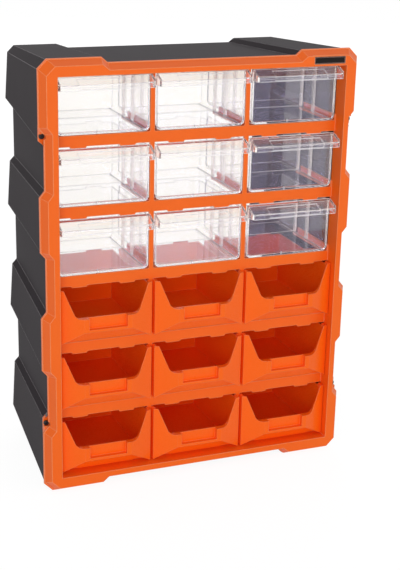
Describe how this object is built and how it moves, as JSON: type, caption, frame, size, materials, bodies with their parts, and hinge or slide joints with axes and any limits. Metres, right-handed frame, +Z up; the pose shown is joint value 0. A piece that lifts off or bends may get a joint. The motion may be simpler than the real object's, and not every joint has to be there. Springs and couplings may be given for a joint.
{
  "type": "parts bin cabinet",
  "caption": "Wall or bench cabinet for small parts: clear drawers above, open-front bins below, in a crenellated front frame screwed to a drafted open-back shell.",
  "frame": {"origin": "on the surface the feet stand on, in the middle of the width and depth", "axes": "+Z up, -Y out of the front towards the user, +X to the right of a user facing the front"},
  "size_m": [0.38, 0.2, 0.5045],
  "materials": {
    "orange_plastic": "fine moulded satin",
    "grey_plastic": "fine moulded satin",
    "screw_steel": "black oxide",
    "plate_plastic": "glossy",
    "clear_plastic": "clear moulded polystyrene",
    "bin_plastic": "satin outside, glossier inside"
  },
  "bodies": {
    "cabinet": {"front_frame": "orange_plastic", "rear_shell": "grey_plastic", "frame_screws": "screw_steel", "label_plate": "plate_plastic"},
    "clear_drawer_r1_c1": {"clear_drawer_r1_c1": "clear_plastic", "divider_r1_c1": "clear_plastic"},
    "clear_drawer_r1_c2": {"clear_drawer_r1_c2": "clear_plastic", "divider_r1_c2": "clear_plastic"},
    "clear_drawer_r1_c3": {"clear_drawer_r1_c3": "clear_plastic", "divider_r1_c3": "clear_plastic"},
    "clear_drawer_r2_c1": {"clear_drawer_r2_c1": "clear_plastic", "divider_r2_c1": "clear_plastic"},
    "clear_drawer_r2_c2": {"clear_drawer_r2_c2": "clear_plastic", "divider_r2_c2": "clear_plastic"},
    "clear_drawer_r2_c3": {"clear_drawer_r2_c3": "clear_plastic", "divider_r2_c3": "clear_plastic"},
    "clear_drawer_r3_c1": {"clear_drawer_r3_c1": "clear_plastic", "divider_r3_c1": "clear_plastic"},
    "clear_drawer_r3_c2": {"clear_drawer_r3_c2": "clear_plastic", "divider_r3_c2": "clear_plastic"},
    "clear_drawer_r3_c3": {"clear_drawer_r3_c3": "clear_plastic", "divider_r3_c3": "clear_plastic"},
    "open_bin_r4_c1": {"open_bin_r4_c1": "bin_plastic"},
    "open_bin_r4_c2": {"open_bin_r4_c2": "bin_plastic"},
    "open_bin_r4_c3": {"open_bin_r4_c3": "bin_plastic"},
    "open_bin_r5_c1": {"open_bin_r5_c1": "bin_plastic"},
    "open_bin_r5_c2": {"open_bin_r5_c2": "bin_plastic"},
    "open_bin_r5_c3": {"open_bin_r5_c3": "bin_plastic"},
    "open_bin_r6_c1": {"open_bin_r6_c1": "bin_plastic"},
    "open_bin_r6_c2": {"open_bin_r6_c2": "bin_plastic"},
    "open_bin_r6_c3": {"open_bin_r6_c3": "bin_plastic"}
  },
  "joints": [
    {"name": "clear_drawer_r1_c1_slide", "type": "slide", "parent": "cabinet", "child": "clear_drawer_r1_c1", "axis": [0, -1, 0], "range_m": [0, 0.12]},
    {"name": "clear_drawer_r1_c2_slide", "type": "slide", "parent": "cabinet", "child": "clear_drawer_r1_c2", "axis": [0, -1, 0], "range_m": [0, 0.12]},
    {"name": "clear_drawer_r1_c3_slide", "type": "slide", "parent": "cabinet", "child": "clear_drawer_r1_c3", "axis": [0, -1, 0], "range_m": [0, 0.12]},
    {"name": "clear_drawer_r2_c1_slide", "type": "slide", "parent": "cabinet", "child": "clear_drawer_r2_c1", "axis": [0, -1, 0], "range_m": [0, 0.12]},
    {"name": "clear_drawer_r2_c2_slide", "type": "slide", "parent": "cabinet", "child": "clear_drawer_r2_c2", "axis": [0, -1, 0], "range_m": [0, 0.12]},
    {"name": "clear_drawer_r2_c3_slide", "type": "slide", "parent": "cabinet", "child": "clear_drawer_r2_c3", "axis": [0, -1, 0], "range_m": [0, 0.12]},
    {"name": "clear_drawer_r3_c1_slide", "type": "slide", "parent": "cabinet", "child": "clear_drawer_r3_c1", "axis": [0, -1, 0], "range_m": [0, 0.12]},
    {"name": "clear_drawer_r3_c2_slide", "type": "slide", "parent": "cabinet", "child": "clear_drawer_r3_c2", "axis": [0, -1, 0], "range_m": [0, 0.12]},
    {"name": "clear_drawer_r3_c3_slide", "type": "slide", "parent": "cabinet", "child": "clear_drawer_r3_c3", "axis": [0, -1, 0], "range_m": [0, 0.12]},
    {"name": "open_bin_r4_c1_slide", "type": "slide", "parent": "cabinet", "child": "open_bin_r4_c1", "axis": [0, -1, 0], "range_m": [0, 0.12]},
    {"name": "open_bin_r4_c2_slide", "type": "slide", "parent": "cabinet", "child": "open_bin_r4_c2", "axis": [0, -1, 0], "range_m": [0, 0.12]},
    {"name": "open_bin_r4_c3_slide", "type": "slide", "parent": "cabinet", "child": "open_bin_r4_c3", "axis": [0, -1, 0], "range_m": [0, 0.12]},
    {"name": "open_bin_r5_c1_slide", "type": "slide", "parent": "cabinet", "child": "open_bin_r5_c1", "axis": [0, -1, 0], "range_m": [0, 0.12]},
    {"name": "open_bin_r5_c2_slide", "type": "slide", "parent": "cabinet", "child": "open_bin_r5_c2", "axis": [0, -1, 0], "range_m": [0, 0.12]},
    {"name": "open_bin_r5_c3_slide", "type": "slide", "parent": "cabinet", "child": "open_bin_r5_c3", "axis": [0, -1, 0], "range_m": [0, 0.12]},
    {"name": "open_bin_r6_c1_slide", "type": "slide", "parent": "cabinet", "child": "open_bin_r6_c1", "axis": [0, -1, 0], "range_m": [0, 0.12]},
    {"name": "open_bin_r6_c2_slide", "type": "slide", "parent": "cabinet", "child": "open_bin_r6_c2", "axis": [0, -1, 0], "range_m": [0, 0.12]},
    {"name": "open_bin_r6_c3_slide", "type": "slide", "parent": "cabinet", "child": "open_bin_r6_c3", "axis": [0, -1, 0], "range_m": [0, 0.12]}
  ]
}
